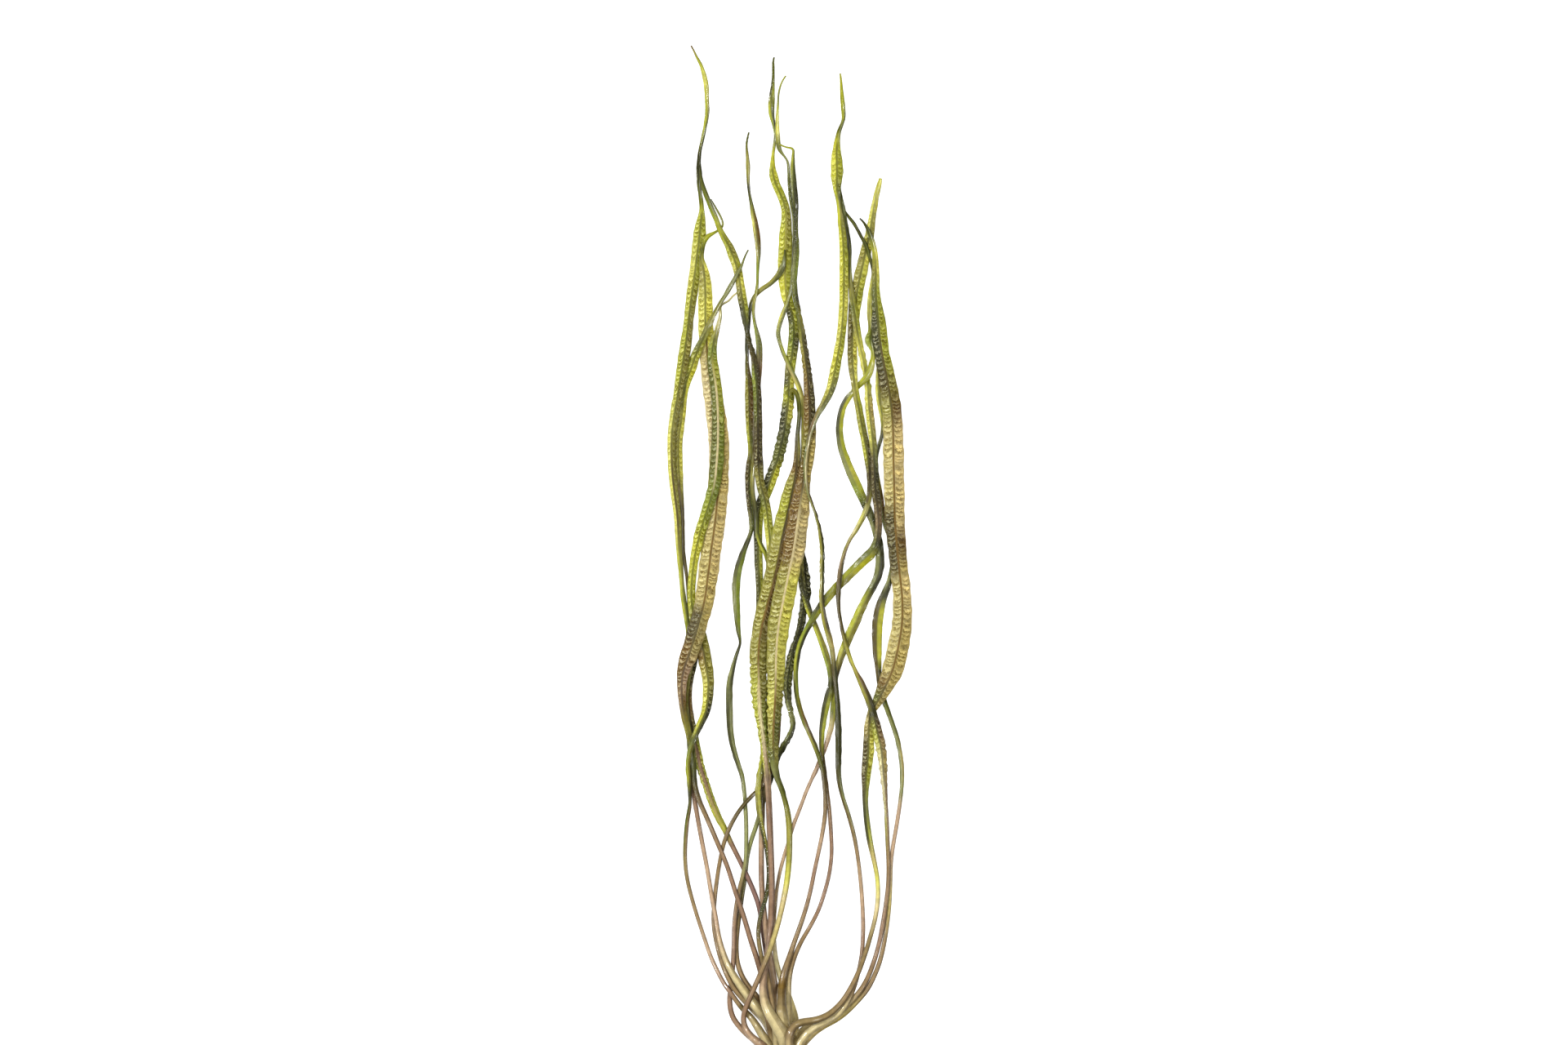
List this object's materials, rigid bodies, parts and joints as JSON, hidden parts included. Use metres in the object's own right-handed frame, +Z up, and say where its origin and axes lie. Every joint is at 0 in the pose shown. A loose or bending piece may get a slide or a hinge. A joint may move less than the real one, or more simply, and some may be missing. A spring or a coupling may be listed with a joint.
{
  "type": "crinum natans aquarium plant",
  "caption": "Bare aquatic bulb plant laid flat: a pale bulb with trimmed roots and long, narrow, wavy olive-green leaves.",
  "frame": {"origin": "centre of the small flat under the bulb, where it lies on the surface", "axes": "+Y along the leaves from the bulb to their tips, +Z up from the surface, +X across to the right as seen from above with the tips away"},
  "size_m": [0.1492, 0.7376, 0.0341],
  "materials": {
    "bulb_skin": "satin, moist pale skin",
    "green_leaf": "wet, glossy, translucent",
    "browned_leaf": "wet, glossy, translucent",
    "root": "satin, pale"
  },
  "bodies": {
    "root": {"bulb": "bulb_skin", "leaf_01": "green_leaf", "leaf_02": "green_leaf", "leaf_03": "browned_leaf", "leaf_04": "green_leaf", "leaf_05": "green_leaf", "leaf_06": "green_leaf", "leaf_07": "green_leaf", "leaf_08": "green_leaf", "leaf_09": "browned_leaf", "leaf_10": "browned_leaf", "leaf_11": "green_leaf", "leaf_12": "green_leaf", "leaf_13": "green_leaf", "leaf_14": "green_leaf", "leaf_15": "green_leaf", "leaf_16": "browned_leaf", "leaf_17": "green_leaf", "leaf_18": "green_leaf", "root_1": "root", "root_2": "root", "root_3": "root", "root_4": "root", "root_5": "root", "root_6": "root"}
  },
  "joints": []
}
